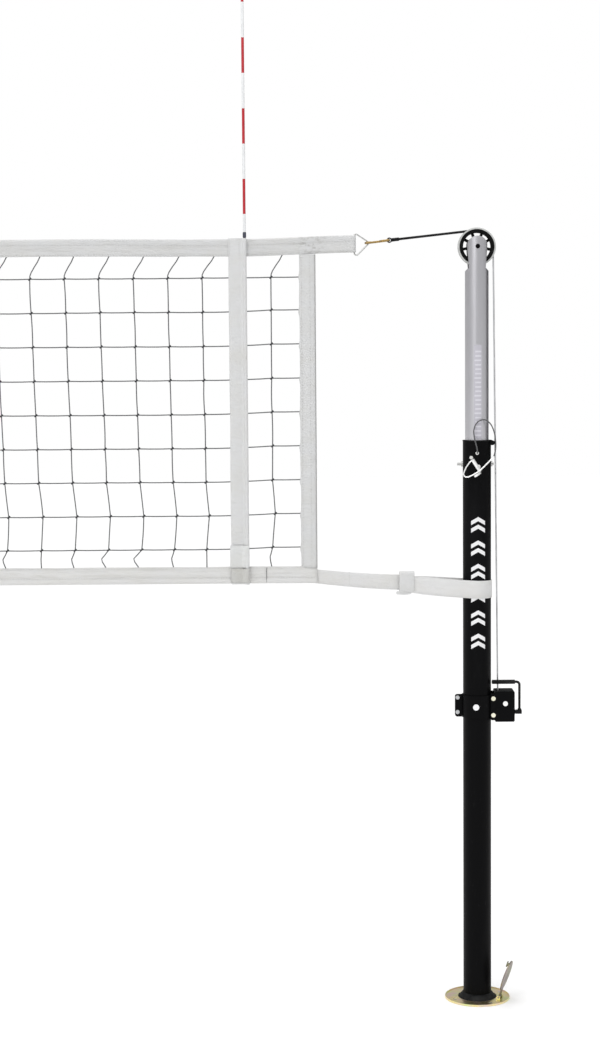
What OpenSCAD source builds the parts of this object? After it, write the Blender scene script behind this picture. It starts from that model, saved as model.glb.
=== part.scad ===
// Competition volleyball net system: two telescoping posts in ground sleeves, a worm winch,
// cable pulleys and a taped net with antennas. Floor level is z = 0, midway between the posts.
// X runs along the net, Y across the court, and the winch post is at +X.

/* [Court] */
// Distance from the middle of the net to each post's axis
post_x = 5175; // [5000:5:5500]
// Height of the net's top edge above the floor
net_top = 2240; // [2200:5:2260]
// Distance from the net's top edge to its bottom edge
net_depth = 1000; // [980:5:1010]
// Travel of the uprights from the low net setting to the high one
raise = 190; // [150:5:190]

/* [Posts] */
// Outer diameter of the lower post
post_od = 82; // [80:1:84]
// Wall of the lower post
post_wall = 4; // [3.5:0.5:4]
// Outer diameter of the sliding upright
upright_od = 68; // [66:1:68]
// Wall of the sliding upright
upright_wall = 4; // [3:0.5:5]
// Height of the lower post's top end
post_top = 1652; // [1640:1:1660]
// Height of the sliding upright's shoulder
shoulder_z = 2141; // [2130:1:2145]
// Height of the lock pin
pin_z = 1579; // [1570:1:1585]

/* [Pulley] */
// Outer diameter of the pulley wheel
pulley_od = 110; // [106:1:114]
// Width of the pulley wheel
pulley_w = 20; // [18:1:22]
// Height of the pulley's axle
pulley_z = 2212; // [2205:1:2216]
// Diameter of the coated head cable
cable_d = 7; // [6:0.2:7.4]
// Diameter of the bare cable that runs down the post
run_d = 5; // [4:0.5:6]

/* [Net] */
// Width of the top and bottom bands
band_w = 50; // [45:1:55]
// Distance from the middle of the net to its end tapes' outer edges
net_end_x = 4709; // [4700:1:4712]
// Distance from the middle of the net to the top band's ends
band_end_x = 4826; // [4820:1:4830]
// Distance from the middle of the net to each antenna
antenna_x = 4505; // [4502:1:4506]
// Diameter of an antenna
antenna_d = 8; // [7:0.5:10]
// Length of an antenna
antenna_len = 1800; // [1700:10:1800]

/* [Winch] */
// Height of the drum's axle
drum_z = 885; // [880:1:888]
// Distance from the post's axis to the drum's axle
drum_x = 80; // [79.5:0.5:80]
// Teeth of the worm gear
gear_teeth = 20; // [20:1:20]
// Module of the worm gear
gear_module = 2; // [2:1:2]
// Length of the crank arm between shaft and grip
crank_arm = 88.5; // [87:0.5:96]

/* [Floor] */
// Outer diameter of the floor plate
plate_od = 191; // [185:1:200]
// Thickness of the floor plate
plate_t = 4; // [3:0.5:5]
// Depth of the ground sleeve below the floor
sleeve_depth = 230; // [200:10:260]
// Angle of the cover lid when it stands open
lid_open = 108; // [95:1:110]

/* [Hidden] */
$fn = 48;
SIDES = [1, -1];
clearance = 0.3;
running = 0.05;
post_r = post_od / 2;
post_ir = post_r - post_wall;
upright_r = upright_od / 2;
upright_ir = upright_r - upright_wall;
upright_bottom = 1045;
pin_r = 6;
pin_hole_r = 6.3;
bail_r = 2;
side_bolt_z = 1585;
side_bolt_r = 4;
rivet_r = 3;
// Place of each rivet across the post's front and its height
RIVETS = [[-2.6, 1618], [-18.6, 1605]];
anchor_bolt_x = -7;
anchor_bolt_z = 877;
anchor_bolt_r = 4;
neck_half = 24;
ear_half = 29;
ear_top_r = 30;
axle_r = 6;
pulley_r = pulley_od / 2;
cable_r = cable_d / 2;
groove_r = cable_r + 0.2;
cable_path_r = pulley_r - 4 - cable_r;
ring_ir = 40;
spoke_w = 8;
spoke_count = 9;
spoke_phase = 29;
run_r = run_d / 2;
sleeve_r = 57;
sleeve_ir = 52.5;
liner_bottom = -60;
boot_top = 18;
rim_t = 1.5;
rim_w = 3;
screw_ring_r = 76;
screw_count = 4;
plate_turn = -20;
lid_pivot = [68, 9];
lid_r = 45;
lid_t = 3;
lid_reach = 68;
hinge_r = 2.5;
mesh_top = net_top - band_w;
net_bottom = net_top - net_depth;
mesh_bottom = net_bottom + band_w;
band_r = 5.5;
cord_r = 3;
tape_w = 47;
dowel_r = 5;
marker_w = 50;
marker_x1 = antenna_x + 3;
marker_face = 7;
pocket_r = antenna_d / 2 + 1.4;
pocket_y = 1 - marker_face - pocket_r;
strap_w = 52;
strap_z = 1228;
strap_t = 2.4;
keeper_x = 4970;
keeper_half = 22.5;
saddle_z = 876;
saddle_h = 66;
saddle_r = post_r + 4;
ear_bolt_x = 58;
cover_bolt_x = 45;
bolt_r = 3;
bolt_hole_r = 3.1;
// Heights of the winch's clamp bolts on the net side and on the cover side
EAR_BOLTS = [857, 900];
COVER_BOLTS = [851, 900];
flange_r = 24;
box_x0 = 50;
box_x1 = 107.5;
box_y = 31;
box_z0 = 831;
box_z1 = 921;
box_wall = 3;
flap_x0 = 37;
flap_z0 = 836;
flap_z1 = 914;
gear_r = gear_module * gear_teeth / 2;
worm_r = 6.5;
worm_y = -17;
worm_z = drum_z - gear_r - worm_r;
worm_lead = PI * gear_module;
worm_len = 30;
tooth_half = 1.1;
drum_core_r = 16.5;
run_tangent_x = drum_x - drum_core_r - run_r;
arm_x = 122.5;
hub_x0 = 111.5;
hub_x1 = 129;
hub_r = 6.5;
grip_x0 = 42.5;
grip_x1 = 109;
grip_r = 6.3;
rod_r = 3.6;
snap_bend_r = 7;
snap_rod_r = 3.1;
snap_x = 4861;
snap_len = 55;
snap_z = 2226;
snap_tilt = 6.5;
gate_pivot = 36;
gate_nose = 10;
ring_rod_r = 2;

// Lanyard route on the winch post, measured from the post's axis: up from its rivet, over the
// top and down the side to the bail's eye.
LANYARD = [
    [-3, -45.2, 1618], [-3, -50, 1618], [-3.5, -54.5, 1624], [-4.5, -56, 1632], [-7, -55, 1643],
    [-10, -53, 1655], [-12, -49, 1667], [-13, -45, 1679], [-11, -42, 1691], [-6, -40, 1702],
    [2, -39, 1710], [13, -38, 1714], [23, -36, 1713], [32, -33, 1707], [40, -29, 1697],
    [46, -25, 1684], [50, -23, 1670], [52, -22, 1656], [53, -23, 1642], [52, -26, 1628],
    [49, -31, 1617], [46, -36, 1609]
];
lanyard_r = 1.6;

// Puts its children, drawn round a post's own axis, on the post of the given side.
module at_post(side) {
    mirror([side < 0 ? 1 : 0, 0, 0]) translate([post_x, 0, 0]) children();
}

// Draws its children for the +X half and mirrors them to the -X half.
module both_halves() {
    for (side = SIDES) mirror([side < 0 ? 1 : 0, 0, 0]) children();
}

module both_posts() {
    for (side = SIDES) at_post(side) children();
}

module tube(outer, inner, z0, z1) {
    translate([0, 0, z0]) difference() {
        cylinder(r = outer, h = z1 - z0);
        translate([0, 0, -1]) cylinder(r = inner, h = z1 - z0 + 2);
    }
}

// Rod along Y, centred on y = 0.
module y_rod(r, length) {
    rotate([90, 0, 0]) cylinder(r = r, h = length, center = true);
}

// Rod along Y from y0 to y1, at x and z.
module y_pin(x, z, r, y0, y1) {
    translate([x, y1, z]) rotate([90, 0, 0]) cylinder(r = r, h = y1 - y0);
}

// Rod along +X from x0 to x1, at y and z.
module x_pin(y, z, r, x0, x1) {
    translate([x0, y, z]) rotate([0, 90, 0]) cylinder(r = r, h = x1 - x0);
}

module box(low, high) {
    translate(low) cube(high - low);
}

// Upright plate with rounded corners, from y0 to y1.
module plate(x0, x1, z0, z1, r, y0, y1) {
    translate([0, y1, 0]) rotate([90, 0, 0]) linear_extrude(height = y1 - y0) union() {
        translate([x0 + r, z0]) square([x1 - x0 - 2 * r, z1 - z0]);
        translate([x0, z0 + r]) square([x1 - x0, z1 - z0 - 2 * r]);
        for (x = [x0 + r, x1 - r]) for (z = [z0 + r, z1 - r]) translate([x, z]) circle(r = r);
    }
}

// Straight round bar between two points.
module bar(a, b, r) {
    d = b - a;
    translate(a) rotate([0, acos(d[2] / norm(d)), atan2(d[1], d[0])])
        cylinder(r = r, h = norm(d));
}

// Tube swept along a route, with its end faces square to the route.
function unit(v) = v / norm(v);
function tangent(p, i) = unit(p[min(i + 1, len(p) - 1)] - p[max(i - 1, 0)]);
function side_of(t) = unit(cross(t, abs(t[2]) > 0.9 ? [1, 0, 0] : [0, 0, 1]));
function frames(p, i = 0, last = []) = i == len(p) ? [] :
    let (
        t = tangent(p, i),
        s = i == 0 ? side_of(t) : unit(last - (last * t) * t)
    )
    concat([[p[i], s, cross(t, s)]], frames(p, i + 1, s));
module swept(route, r, n = 8) {
    f = frames(route);
    rings = len(f);
    points = [
        for (q = f) for (k = [0 : n - 1])
            q[0] + r * (cos(360 * k / n) * q[1] + sin(360 * k / n) * q[2])
    ];
    walls = [
        for (i = [0 : rings - 2]) for (k = [0 : n - 1])
            [i * n + k, i * n + (k + 1) % n, (i + 1) * n + (k + 1) % n, (i + 1) * n + k]
    ];
    first = [for (k = [n - 1 : -1 : 0]) k];
    final = [for (k = [0 : n - 1]) (rings - 1) * n + k];
    polyhedron(points, concat([first], walls, [final]), convexity = 10);
}

// ---- floor ----

module ground_sleeves() {
    color("dimgray") both_posts() union() {
        tube(sleeve_r, sleeve_ir, -sleeve_depth, 0);
        translate([0, 0, -sleeve_depth - 6]) cylinder(r = sleeve_r, h = 6);
    }
}

// Liner in the sleeve's mouth with a conical boot round the post above it.
module sleeve_liners() {
    post_side = post_r + clearance;
    color([0.05, 0.05, 0.05]) both_posts() rotate_extrude() polygon([
        [post_side, liner_bottom], [sleeve_ir, liner_bottom], [sleeve_ir, 0], [sleeve_r - 1, 0],
        [sleeve_r - 1, 2], [post_r + 4, boot_top - 2], [post_side, boot_top]
    ]);
}

module floor_plate() {
    difference() {
        union() {
            tube(plate_od / 2, sleeve_r + 0.5, 0, plate_t);
            tube(plate_od / 2, plate_od / 2 - rim_w, 0, plate_t + rim_t);
            for (s = SIDES) box(
                [lid_pivot[0] - 5, s * 15 - 4, plate_t],
                [lid_pivot[0] + 5, s * 15 + 4, lid_pivot[1]]
            );
            for (s = SIDES) y_pin(lid_pivot[0], lid_pivot[1], 5, s * 15 - 4, s * 15 + 4);
        }
        translate([0, 0, -1]) cylinder(r = sleeve_r + 0.5, h = 20);
        y_pin(lid_pivot[0], lid_pivot[1], hinge_r + running, -30, 30);
        for (k = [0 : screw_count - 1]) rotate(45 + 90 * k) translate([screw_ring_r, 0, 0]) {
            translate([0, 0, -1]) cylinder(r = 3.3, h = 20);
            translate([0, 0, plate_t - 2.4]) cylinder(r1 = 3.3, r2 = 6.1, h = 2.8);
        }
    }
}

module floor_plates() {
    color("goldenrod") both_posts() rotate(plate_turn) floor_plate();
}

module plate_screws() {
    color("silver") both_posts()
        for (k = [0 : screw_count - 1]) rotate(45 + 90 * k + plate_turn) translate([screw_ring_r, 0, 0]) {
            translate([0, 0, -40]) cylinder(r = 3.1, h = 40 + plate_t - 2.4);
            translate([0, 0, plate_t - 2.4]) cylinder(r1 = 3.1, r2 = 5.2, h = 2.3);
        }
}

module cover_hinge_pins() {
    color("silver") both_posts() rotate(plate_turn)
        y_pin(lid_pivot[0], lid_pivot[1], hinge_r, -21, 21);
}

// Lid drawn shut over the sleeve, then swung open about its pivot.
module cover_lid(side) {
    color("goldenrod") at_post(side) rotate(plate_turn)
        translate([lid_pivot[0], 0, lid_pivot[1]]) rotate([0, lid_open, 0]) difference() {
            union() {
                translate([-lid_reach, 0, -1.5]) cylinder(r = lid_r, h = lid_t);
                box([-lid_reach, -10.4, -1.5], [0, 10.4, lid_t - 1.5]);
                y_rod(4.4, 20.8);
                translate([-lid_reach - lid_r + 12, 0, -8]) cylinder(r = 5, h = 7);
                box([-lid_reach - lid_r + 4, -4, -10], [-lid_reach - lid_r + 20, 4, -7]);
            }
            y_rod(hinge_r + running, 60);
        }
}

// ---- posts ----

module at_rivet(rivet) {
    translate([0, 0, rivet[1]]) rotate([90, 0, asin(rivet[0] / post_r)]) children();
}

module lower_post(side) {
    color([0.08, 0.08, 0.08]) at_post(side) difference() {
        tube(post_r, post_ir, -sleeve_depth + 2, post_top);
        translate([0, 0, pin_z]) y_rod(pin_hole_r, 2 * post_od);
        x_pin(0, side_bolt_z, side_bolt_r + running, -post_od, post_od);
        for (rivet = RIVETS) at_rivet(rivet) cylinder(r = rivet_r + running, h = post_od);
        if (side > 0)
            translate([anchor_bolt_x, 0, anchor_bolt_z])
                y_rod(anchor_bolt_r + running, 2 * post_od);
    }
}

module post_feet() {
    color([0.12, 0.12, 0.12]) both_posts() {
        translate([0, 0, -sleeve_depth]) cylinder(r = post_r - 1, h = 2);
        tube(post_ir, post_ir - 5, -sleeve_depth + 2, -sleeve_depth + 30);
    }
}

module top_collars() {
    color([0.05, 0.05, 0.05]) both_posts() {
        tube(post_r + 0.8, upright_r + clearance, post_top, post_top + 3);
        difference() {
            translate([0, -5, post_top]) rotate([90, 0, 0]) linear_extrude(height = 12) polygon([
                [30, -12], [46, -12], [54, -7], [54, -2], [42, 3], [30, 3]
            ]);
            translate([0, 0, post_top - 20]) cylinder(r = post_r + running, h = 30);
        }
    }
}

module guide_bushings() {
    color("white") both_posts() tube(post_ir, upright_r + 0.2, post_top - 52, post_top);
}

module side_bolts() {
    color("silver") both_posts() for (end = [[0, 4], [1, 12]]) mirror([end[0], 0, 0]) {
        x_pin(0, side_bolt_z, side_bolt_r, post_ir - 2, post_r);
        x_pin(0, side_bolt_z, 7.5, post_r, post_r + 4);
        x_pin(0, side_bolt_z, side_bolt_r, post_r + 4, post_r + 4 + end[1]);
    }
}

module lanyard_rivets() {
    color("white") both_posts() for (rivet = RIVETS) at_rivet(rivet) {
        translate([0, 0, post_ir + clearance]) cylinder(r = rivet_r, h = post_wall);
        translate([0, 0, post_r]) cylinder(r = 5, h = 3.6);
    }
}

module lanyard(side) {
    color("dimgray") at_post(side) swept(LANYARD, lanyard_r);
}

// Plain pin through both walls, with a slanted T bar and a round flange in front.
module lock_pin(side) {
    color("silver") at_post(side) {
        y_pin(0, pin_z, pin_r, -50, 52);
        bar([-17, -52, pin_z + 21], [5, -52, pin_z - 14], 5);
        bar([-4.6, -52.5, pin_z - 19.5], [-1.4, -52.5, pin_z - 24.5], 11);
    }
}

// Stiff wire bail: down from the bar's top end, round below and up to the lanyard's eye.
module pin_bail(side) {
    color("silver") at_post(side) swept([
        [-15, -56, pin_z + 18], [-20, -59, pin_z + 18], [-26, -60, pin_z + 14],
        [-31, -60, pin_z + 7], [-37, -60, pin_z - 2], [-42, -60, pin_z - 13],
        [-44, -60, pin_z - 20], [-42, -60, pin_z - 26], [-37, -60, pin_z - 29],
        [-30, -60, pin_z - 29], [-17, -60, pin_z - 23], [-5, -60, pin_z - 16],
        [6, -60, pin_z - 8], [18, -57, pin_z + 3], [31, -50, pin_z + 15], [43, -40, pin_z + 27]
    ], bail_r);
}

module upright(side) {
    color("lightgray") at_post(side) difference() {
        intersection() {
            tube(upright_r, upright_ir, upright_bottom, pulley_z + ear_top_r);
            union() {
                box([-50, -50, upright_bottom - 1], [50, 50, shoulder_z]);
                rotate([90, 0, 0]) linear_extrude(height = 100, center = true) polygon([
                    [-upright_r - 1, shoulder_z - 1], [-upright_r - 1, shoulder_z],
                    [-neck_half, shoulder_z + 10], [-ear_half, pulley_z],
                    [ear_half, pulley_z], [neck_half, shoulder_z + 10],
                    [upright_r + 1, shoulder_z], [upright_r + 1, shoulder_z - 1]
                ]);
                intersection() {
                    translate([0, 0, pulley_z]) y_rod(ear_top_r, 100);
                    box([-ear_half, -50, pulley_z - 1], [ear_half, 50, pulley_z + 40]);
                }
            }
        }
        box([-50, -16, shoulder_z + 8], [50, 16, pulley_z + 50]);
        translate([0, 0, pulley_z]) y_rod(axle_r + running, 100);
        translate([0, 0, pin_z]) y_rod(pin_hole_r, 100);
        translate([0, 0, pin_z - raise]) y_rod(pin_hole_r, 100);
        box([-pin_hole_r, -50, pin_z - raise], [pin_hole_r, 50, pin_z]);
    }
}

module upright_bushing(side) {
    color("white") at_post(side)
        tube(post_ir - 0.2, upright_r, upright_bottom + 2, upright_bottom + 42);
}

// ---- pulley ----

module pulley_axle(side) {
    color([0.12, 0.12, 0.12]) at_post(side) {
        y_pin(0, pulley_z, axle_r, -upright_r - 1, upright_r + 9);
        y_pin(0, pulley_z, 6.5, -upright_r - 5, -upright_r);
        difference() {
            translate([0, upright_r, pulley_z]) rotate([-90, 0, 0]) cylinder(r = 10, h = 7, $fn = 6);
            y_pin(0, pulley_z, axle_r, upright_r - 1, upright_r + 9);
        }
    }
}

module pulley_spacers(side) {
    color("white") at_post(side) for (s = SIDES)
        translate([0, s * (pulley_w / 2 + 9.4), pulley_z]) difference() {
            y_rod(9, 17.6);
            y_rod(axle_r + running, 30);
        }
}

module pulley_wheel(side) {
    half = pulley_w / 2;
    color([0.06, 0.06, 0.06]) at_post(side) translate([0, 0, pulley_z]) rotate([90, 0, 0])
        difference() {
            union() {
                difference() {
                    rotate_extrude($fn = 96) polygon([
                        [ring_ir, -half + 1], [pulley_r - 6, -half], [pulley_r, -half + 3],
                        [pulley_r, half - 3], [pulley_r - 6, half], [ring_ir, half - 1]
                    ]);
                    rotate_extrude($fn = 96) union() {
                        translate([cable_path_r, 0]) circle(r = groove_r, $fn = 32);
                        polygon([
                            [cable_path_r, -groove_r], [pulley_r + 1, -groove_r - 2],
                            [pulley_r + 1, groove_r + 2], [cable_path_r, groove_r]
                        ]);
                    }
                }
                for (k = [0 : spoke_count - 1]) rotate(spoke_phase + 360 * k / spoke_count)
                    box([10, -spoke_w / 2, -4], [ring_ir + 1, spoke_w / 2, 4]);
                cylinder(r = 15, h = pulley_w, center = true);
            }
            cylinder(r = axle_r + running, h = 60, center = true);
        }
}

// Cable from the snap hook's eye, over the pulley to its outer side, with a crimped sleeve.
module top_cable() {
    snap_end = snap_len + snap_bend_r;
    eye = [
        snap_x + snap_end * cos(snap_tilt) + 0.2 - post_x, 0, snap_z + snap_end * sin(snap_tilt)
    ];
    rise = eye[2] - pulley_z;
    lean = asin(cable_path_r / norm([eye[0], rise])) - atan2(rise, -eye[0]);
    touch = [-cable_path_r * sin(lean), 0, pulley_z + cable_path_r * cos(lean)];
    start = eye + unit(touch - eye) * 6;
    bar(start, touch, cable_r);
    bar(start, start + unit(touch - start) * 22, cable_r + 1.6);
    translate([eye[0], 0, eye[2]]) rotate([90, 0, 0])
        rotate_extrude() translate([6, 0]) circle(r = 1.9, $fn = 24);
    translate([0, 0, pulley_z]) rotate([90, 0, 0])
        rotate_extrude(angle = 90 + lean, $fn = 96) translate([cable_path_r, 0])
            circle(r = cable_r, $fn = 24);
}

module top_cables() {
    color([0.08, 0.08, 0.08]) both_posts() top_cable();
}

module cable_run(x_low, z_low) {
    bar([x_low, 0, z_low], [cable_path_r, 0, pulley_z - 0.4], run_r);
}

module right_cable_run() {
    color("gray") at_post(1) cable_run(run_tangent_x, drum_z);
}

module left_cable_run() {
    color("gray") at_post(-1) cable_run(run_tangent_x, 880);
}

// Clamp band with a drilled lug, and the ferrule that stops the cable's end under it.
module left_cable_anchor() {
    color([0.1, 0.1, 0.1]) at_post(-1) {
        tube(saddle_r, post_r + running, 862, 912);
        difference() {
            box([saddle_r - 2, -12, 884], [76, 12, 896]);
            translate([run_tangent_x, 0, 870]) cylinder(r = 4.2, h = 40);
        }
        translate([run_tangent_x, 0, 862]) cylinder(r = 6.5, h = 17.7);
    }
}

// ---- net ----

module net_mesh() {
    color("dimgray") box(
        [-net_end_x + tape_w + 0.5, -0.3, mesh_bottom + 0.5],
        [net_end_x - tape_w - 0.5, 0.3, mesh_top - 0.5]
    );
}

// Folded band: a round bead over its cable and two faces that taper to the mesh.
module band(half_x, bead_z, edge_z, bore_r) {
    up = bead_z > edge_z ? 1 : -1;
    rotate([90, 0, 90]) translate([0, 0, -half_x]) difference() {
        linear_extrude(height = 2 * half_x) polygon(concat(
            [for (k = [0 : 12]) [band_r * cos(15 * k), bead_z + up * band_r * sin(15 * k)]],
            [[-3.2, edge_z], [3.2, edge_z]]
        ));
        translate([0, bead_z, -1]) cylinder(r = bore_r, h = 2 * half_x + 2);
    }
}

module top_band() {
    color("white") difference() {
        band(band_end_x, net_top - band_r, mesh_top, cord_r + running);
        for (s = SIDES) translate([s * (band_end_x - 5), 0, mesh_top - 5])
            cylinder(r = ring_rod_r + 0.2, h = band_w + 10);
        both_halves() box(
            [band_end_x - 5, -ring_rod_r - 0.4, mesh_top - 1],
            [band_end_x + 1, ring_rod_r + 0.4, mesh_top + 9]
        );
    }
}

module bottom_band() {
    color("white")
        band(net_end_x, net_bottom + band_r, mesh_bottom, cord_r + running);
}

module headline_cable() {
    color("gray") x_pin(0, net_top - band_r, cord_r, -band_end_x + 8, band_end_x - 8);
}

module bottom_cord() {
    color("white") x_pin(0, net_bottom + band_r, cord_r, -net_end_x + 1, net_end_x - 1);
}

module side_tapes() {
    color("white") both_halves() translate([0, 0, mesh_bottom + 0.2]) difference() {
        linear_extrude(height = mesh_top - mesh_bottom - 0.4) union() {
            translate([net_end_x - dowel_r - 1.5, 0]) circle(r = dowel_r + 1.4);
            polygon([
                [net_end_x - tape_w, -1.8], [net_end_x - 6, -dowel_r - 1.2],
                [net_end_x - 6, dowel_r + 1.2], [net_end_x - tape_w, 1.8]
            ]);
        }
        translate([net_end_x - dowel_r - 1.5, 0, -1]) cylinder(r = dowel_r + running, h = 1000);
    }
}

module side_dowels() {
    color("gray") both_halves() translate([net_end_x - dowel_r - 1.5, 0, mesh_bottom + 4])
        cylinder(r = dowel_r, h = mesh_top - mesh_bottom - 8);
}

module marker_tapes() {
    color("white") both_halves() difference() {
        union() {
            for (s = [0, 1]) mirror([0, s, 0]) box(
                [marker_x1 - marker_w, 5.6, net_bottom - 1.4],
                [marker_x1, marker_face, net_top + 1.4]
            );
            for (z = [net_bottom - 1.4, net_top])
                box([marker_x1 - marker_w, -6, z], [marker_x1, 6, z + 1.4]);
            translate([antenna_x, pocket_y, net_bottom]) cylinder(r = pocket_r, h = net_depth);
        }
        translate([antenna_x, pocket_y, net_bottom + 3])
            cylinder(r = antenna_d / 2 + 0.1, h = net_depth);
    }
}

module antennas() {
    color("red") both_halves() translate([antenna_x, pocket_y, net_bottom + 3.2]) {
        cylinder(r = antenna_d / 2, h = antenna_len);
        difference() {
            translate([0, 0, net_depth]) cylinder(r = antenna_d / 2 + 1, h = 14);
            cylinder(r = antenna_d / 2 - 0.5, h = antenna_len);
        }
    }
}

// Bent rod whose two ends meet inside the band's hole.
module delta_rings() {
    x0 = band_end_x - 5;
    color("silver") both_halves() swept([
        [x0, 0, mesh_top + 26], [x0, 0, net_top + 5], [x0 + 1, 0, net_top + 9],
        [x0 + 4, 0, net_top + 11], [x0 + 8, 0, net_top + 10], [snap_x - 1, 0, snap_z + 3.3],
        [snap_x + 1.5, 0, snap_z + 1.2], [snap_x + 2.3, 0, snap_z - 0.8], [snap_x + 1, 0, snap_z - 3],
        [x0 + 11, 0, mesh_top + 2.5], [x0 + 8, 0, mesh_top + 0.6], [x0 + 4, 0, mesh_top + 1],
        [x0 + 1, 0, mesh_top + 4], [x0, 0, mesh_top + 9], [x0, 0, mesh_top + 25.8]
    ], ring_rod_r);
}

// The snap hook lies flat, across the delta ring's plane, with its gate towards -Y.
module at_snap() {
    translate([snap_x, 0, snap_z]) rotate([0, -snap_tilt, 0]) rotate([90, 0, 0]) children();
}

module half_ring(bend_r, rod) {
    rotate([90, 0, 0]) rotate_extrude(angle = 180) translate([bend_r, 0])
        circle(r = rod, $fn = 24);
}

// Carabiner: two half rings and a back bar, left open along the top for the gate.
module snap_hooks() {
    color("goldenrod") both_halves() at_snap() {
        rotate([0, -90, 0]) half_ring(snap_bend_r, snap_rod_r);
        translate([snap_len, 0, 0]) rotate([0, 90, 0]) half_ring(snap_bend_r, snap_rod_r);
        x_pin(0, -snap_bend_r, snap_rod_r, 0, snap_len);
        x_pin(0, snap_bend_r, snap_rod_r, 0, gate_nose - 2);
        x_pin(0, snap_bend_r, snap_rod_r, gate_pivot + 4, snap_len);
        for (s = SIDES) box(
            [gate_pivot - 2.5, s * 2.1 - 0.6, snap_bend_r - 2],
            [gate_pivot + 5, s * 2.1 + 0.6, snap_bend_r + 2]
        );
        y_pin(gate_pivot, snap_bend_r, 0.9, -2.7, 2.7);
    }
}

module snap_gate(side) {
    color("goldenrod") mirror([side < 0 ? 1 : 0, 0, 0]) at_snap() difference() {
        union() {
            x_pin(0, snap_bend_r, 1.4, gate_nose - 1.5, gate_pivot - 1.4);
            y_pin(gate_pivot, snap_bend_r, 2.2, -1.45, 1.45);
        }
        y_pin(gate_pivot, snap_bend_r, 1, -5, 5);
    }
}

// Strap from the net's lower corner to the keeper, then a loop round the lower post.
module bottom_strap() {
    loop_r = post_r + 0.6;
    spread = asin((loop_r - 2) / (post_x - keeper_x));
    translate([net_end_x + 1, -strap_t, net_bottom - 2]) rotate([0, 4.2, 0])
        cube([keeper_x - net_end_x - 2, 2 * strap_t, 41]);
    translate([0, 0, strap_z - strap_w / 2]) linear_extrude(height = strap_w)
        difference() {
            union() {
                translate([post_x, 0]) circle(r = loop_r + strap_t, $fn = 96);
                polygon([
                    [keeper_x + 1, -strap_t], [keeper_x + 1, strap_t],
                    [post_x - (loop_r + strap_t) * sin(spread), (loop_r + strap_t) * cos(spread)],
                    [post_x, 0],
                    [post_x - (loop_r + strap_t) * sin(spread), -(loop_r + strap_t) * cos(spread)]
                ]);
            }
            translate([post_x, 0]) circle(r = loop_r, $fn = 96);
            polygon([
                [keeper_x + 24, 0],
                [post_x - loop_r * sin(spread), loop_r * cos(spread)], [post_x, 0],
                [post_x - loop_r * sin(spread), -loop_r * cos(spread)]
            ]);
        }
}

module bottom_straps() {
    color("white") both_halves() bottom_strap();
}

module strap_keepers() {
    color("white") both_halves() difference() {
        box(
            [keeper_x - keeper_half, -13, strap_z - 29.4],
            [keeper_x + keeper_half, 13, strap_z + 41]
        );
        box([keeper_x - 40, -10, strap_z - 26.4], [keeper_x + 40, 10, strap_z + 38]);
    }
}

// ---- winch, drawn round the right post's axis ----

module saddle_half() {
    difference() {
        union() {
            translate([0, 0, saddle_z - saddle_h / 2]) cylinder(r = saddle_r, h = saddle_h);
            plate(-65, 49.7, saddle_z - saddle_h / 2, saddle_z + saddle_h / 2, 7, 0.5, 4.5);
        }
        translate([0, 0, saddle_z - saddle_h]) cylinder(r = post_r + running, h = 2 * saddle_h);
        box([-80, -60, saddle_z - saddle_h], [80, 0.5, saddle_z + saddle_h]);
        for (z = EAR_BOLTS) y_pin(-ear_bolt_x, z, bolt_hole_r, -20, 20);
        for (z = COVER_BOLTS) y_pin(cover_bolt_x, z, bolt_hole_r, -20, 20);
        y_pin(anchor_bolt_x, anchor_bolt_z, anchor_bolt_r + running, 0, 60);
    }
}

module winch_saddle_front() {
    color([0.08, 0.08, 0.08]) at_post(1) mirror([0, 1, 0]) saddle_half();
}

module winch_saddle_back() {
    color([0.08, 0.08, 0.08]) at_post(1) saddle_half();
}

module clamp_bolt(x, z, half, head_r) {
    y_pin(x, z, bolt_r, -half, half);
    y_pin(x, z, head_r, -half - 3, -half);
    translate([x, half, z]) rotate([-90, 0, 0]) cylinder(r = 6, h = 4, $fn = 6);
}

module winch_bolts() {
    color("silver") at_post(1) {
        for (z = EAR_BOLTS) clamp_bolt(-ear_bolt_x, z, 4.5, 6);
        for (z = COVER_BOLTS) clamp_bolt(cover_bolt_x, z, box_y, 6.5);
        for (s = [0, 1]) mirror([0, s, 0]) {
            y_pin(anchor_bolt_x, anchor_bolt_z, anchor_bolt_r, -saddle_r - 1, -post_ir + 2);
            y_pin(anchor_bolt_x, anchor_bolt_z, 9, -saddle_r - 4.5, -saddle_r);
        }
    }
}

module winch_housing() {
    color([0.05, 0.05, 0.05]) at_post(1) difference() {
        union() {
            difference() {
                plate(box_x0, box_x1, box_z0, box_z1, 4, -box_y + box_wall, box_y);
                plate(
                    box_x0 + box_wall, box_x1 - box_wall, box_z0 + box_wall,
                    box_z1 - box_wall, 3, -box_y, box_y - box_wall
                );
            }
            plate(flap_x0, 70, flap_z0, flap_z1, 5, box_y - box_wall, box_y);
            x_pin(worm_y, worm_z, 8, box_x0, 64);
            x_pin(worm_y, worm_z, 8, 99.5, box_x1 + 2);
        }
        x_pin(worm_y, worm_z, 5 + running, 56, 140);
        y_pin(drum_x, drum_z, axle_r + running, 0, 60);
        for (z = COVER_BOLTS) y_pin(cover_bolt_x, z, bolt_hole_r, 0, 60);
        box([run_tangent_x - 6, -8, box_z1 - 10], [run_tangent_x + 6, 24, box_z1 + 10]);
    }
}

module winch_cover() {
    color([0.05, 0.05, 0.05]) at_post(1) difference() {
        union() {
            plate(flap_x0, 70, flap_z0, flap_z1, 5, -box_y, -box_y + box_wall);
            plate(box_x0, box_x1, box_z0, box_z1, 4, -box_y, -box_y + box_wall);
        }
        for (z = COVER_BOLTS) y_pin(cover_bolt_x, z, bolt_hole_r, -60, 0);
        y_pin(drum_x, drum_z, axle_r + running, -60, 0);
    }
}

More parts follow.
